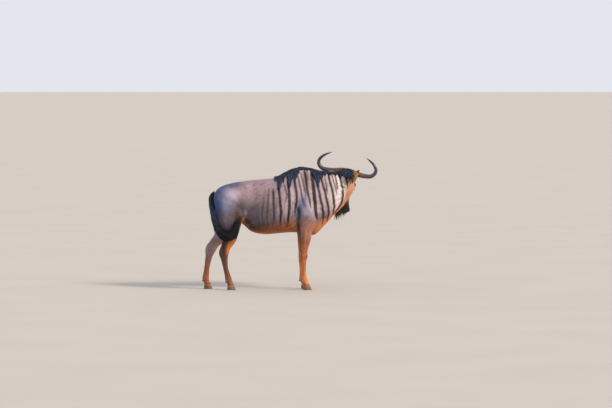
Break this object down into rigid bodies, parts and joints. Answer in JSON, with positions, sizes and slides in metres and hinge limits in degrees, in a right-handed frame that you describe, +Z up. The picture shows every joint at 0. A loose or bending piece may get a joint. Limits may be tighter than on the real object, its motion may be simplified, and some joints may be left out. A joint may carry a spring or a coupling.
{
  "type": "wildebeest model",
  "caption": "Life-size still model of a standing striped wildebeest bull, head turned back over its shoulder, with curved horns, mane, beard and a swung tail.",
  "frame": {"origin": "on the floor, midway between the outermost points in length and in width", "axes": "+X from tail to chest, +Y to the animal's left, +Z up"},
  "size_m": [2.025, 0.7092, 1.5749],
  "materials": {
    "coat_grey": "short dense hair, soft sheen",
    "coat_tan": "short dense hair",
    "face_dark": "very short hair",
    "hair_black": "long coarse hair, glossy",
    "horn_grey": "ringed at the base, smooth and half glossy at the tips",
    "hoof_dark": "worn horn",
    "eye_dark": "wet gloss",
    "ear_brown": "short hair"
  },
  "bodies": {
    "root": {"beard_jaw": "hair_black", "beard_throat": "hair_black", "dewclaw_front_left_inner": "hoof_dark", "dewclaw_front_left_outer": "hoof_dark", "dewclaw_front_right_inner": "hoof_dark", "dewclaw_front_right_outer": "hoof_dark", "dewclaw_hind_left_inner": "hoof_dark", "dewclaw_hind_left_outer": "hoof_dark", "dewclaw_hind_right_inner": "hoof_dark", "dewclaw_hind_right_outer": "hoof_dark", "ear_left": "ear_brown", "ear_right": "ear_brown", "eye_left": "eye_dark", "eye_right": "eye_dark", "forelock": "hair_black", "head": "face_dark", "hoof_front_left_inner": "hoof_dark", "hoof_front_left_outer": "hoof_dark", "hoof_front_right_inner": "hoof_dark", "hoof_front_right_outer": "hoof_dark", "hoof_hind_left_inner": "hoof_dark", "hoof_hind_left_outer": "hoof_dark", "hoof_hind_right_inner": "hoof_dark", "hoof_hind_right_outer": "hoof_dark", "horn_left": "horn_grey", "horn_right": "horn_grey", "leg_front_left_lower": "coat_tan", "leg_front_left_upper": "coat_grey", "leg_front_right_lower": "coat_tan", "leg_front_right_upper": "coat_grey", "leg_hind_left_lower": "coat_tan", "leg_hind_left_upper": "coat_grey", "leg_hind_right_lower": "coat_tan", "leg_hind_right_upper": "coat_grey", "mane_nape": "hair_black", "mane_neck": "hair_black", "mane_withers": "hair_black", "neck": "coat_grey", "tail_dock": "hair_black", "tail_tuft": "hair_black", "torso": "coat_grey"}
  },
  "joints": []
}
